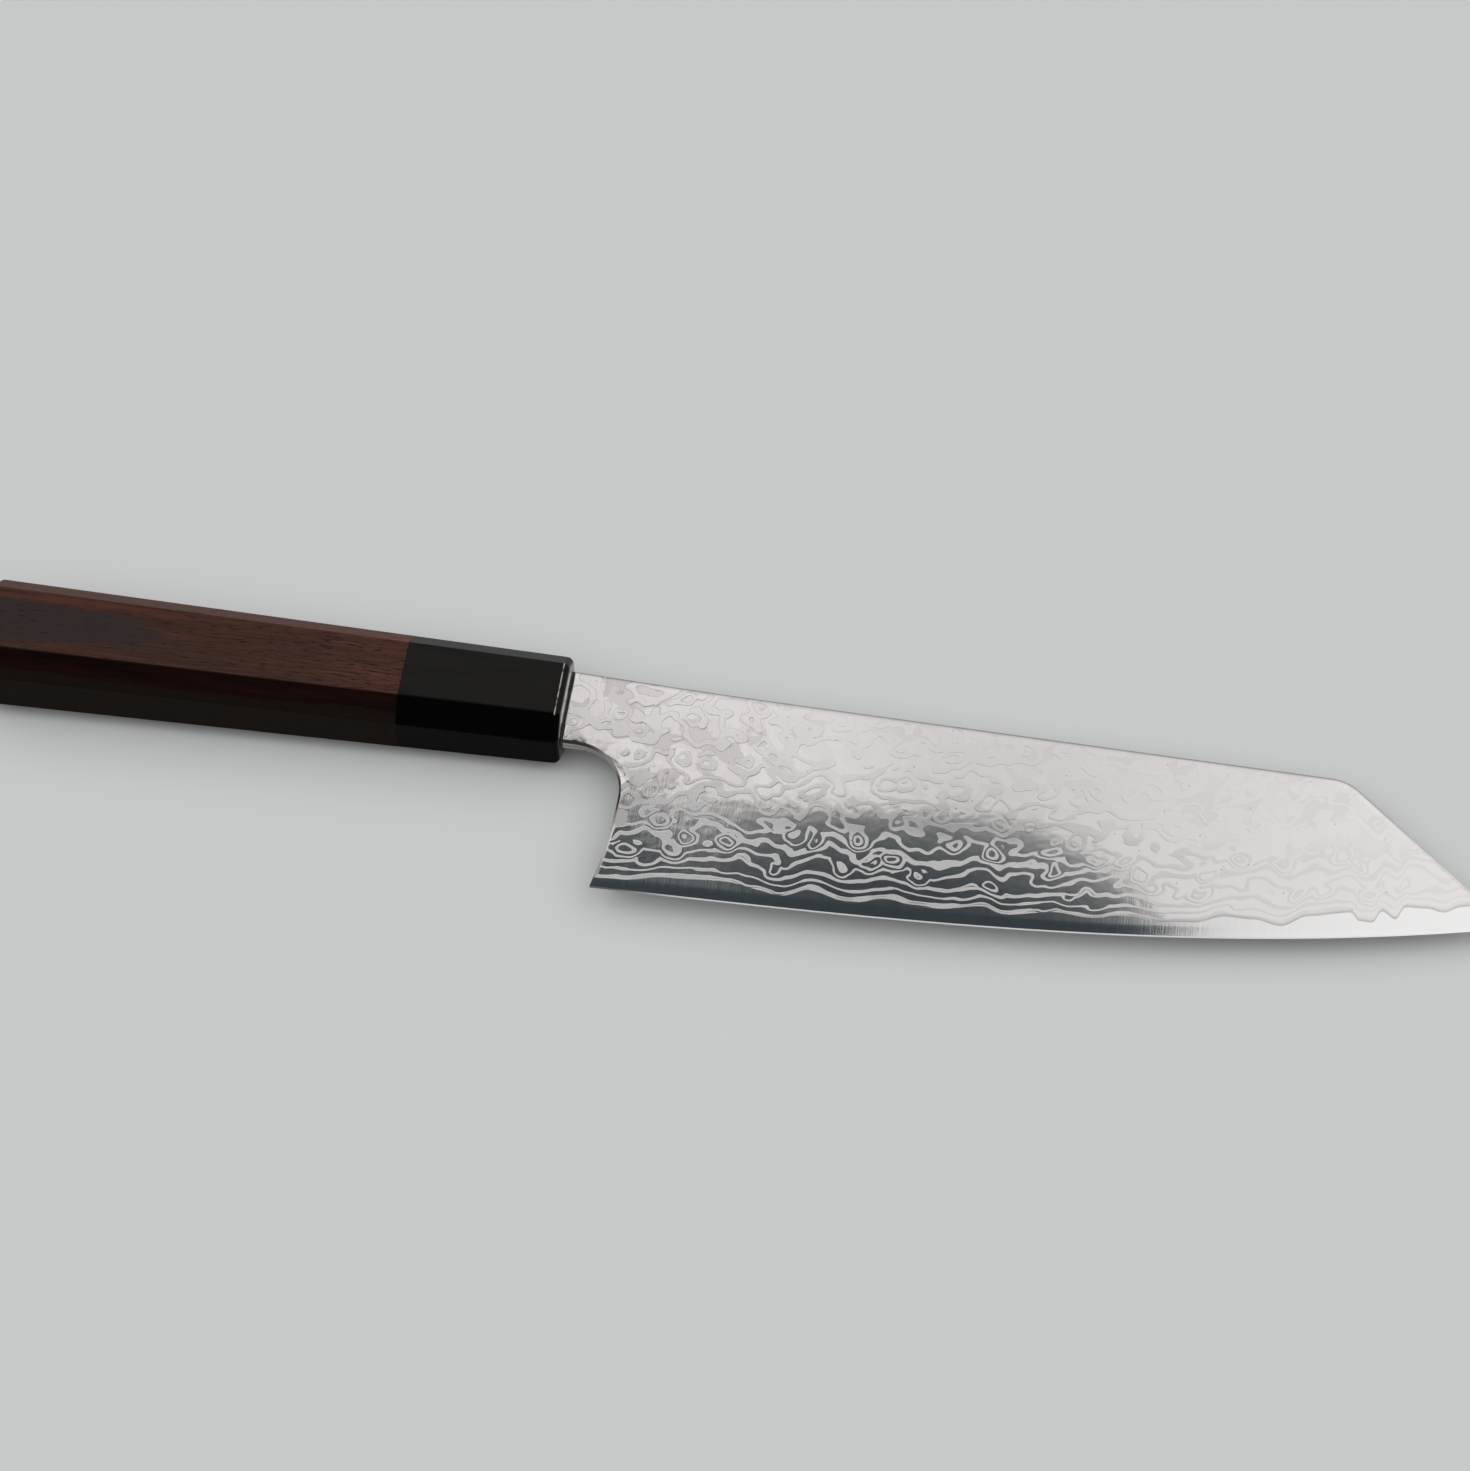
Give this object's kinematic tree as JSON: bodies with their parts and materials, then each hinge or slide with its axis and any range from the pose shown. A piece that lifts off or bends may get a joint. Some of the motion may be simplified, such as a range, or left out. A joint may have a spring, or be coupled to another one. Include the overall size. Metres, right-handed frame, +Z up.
{
  "type": "bunka knife",
  "caption": "Kitchen knife with an angled reverse-tanto tip, a patterned three-layer steel blade, a black ferrule and an octagonal dark wooden handle.",
  "frame": {"origin": "on the table, at the middle of the knife's bounding box, as it lies on the flat side of its handle", "axes": "+X from the butt of the handle to the tip, +Y from the cutting edge to the spine, +Z up from the table, through the blade's thickness"},
  "size_m": [0.32, 0.0529, 0.0204],
  "materials": {
    "core_steel": "satin, brushed across the edge",
    "patterned_steel": "satin with an etched layer pattern",
    "black_ferrule": "polished black resin-filled wood",
    "rosewood": "oiled, satin",
    "pale_wood": "bare",
    "black_resin": "satin"
  },
  "bodies": {
    "root": {"blade_core": "core_steel", "cladding_front": "patterned_steel", "cladding_back": "patterned_steel", "ferrule": "black_ferrule", "handle_grip": "rosewood", "tenon_dowel": "pale_wood", "tang_seal": "black_resin"}
  },
  "joints": []
}
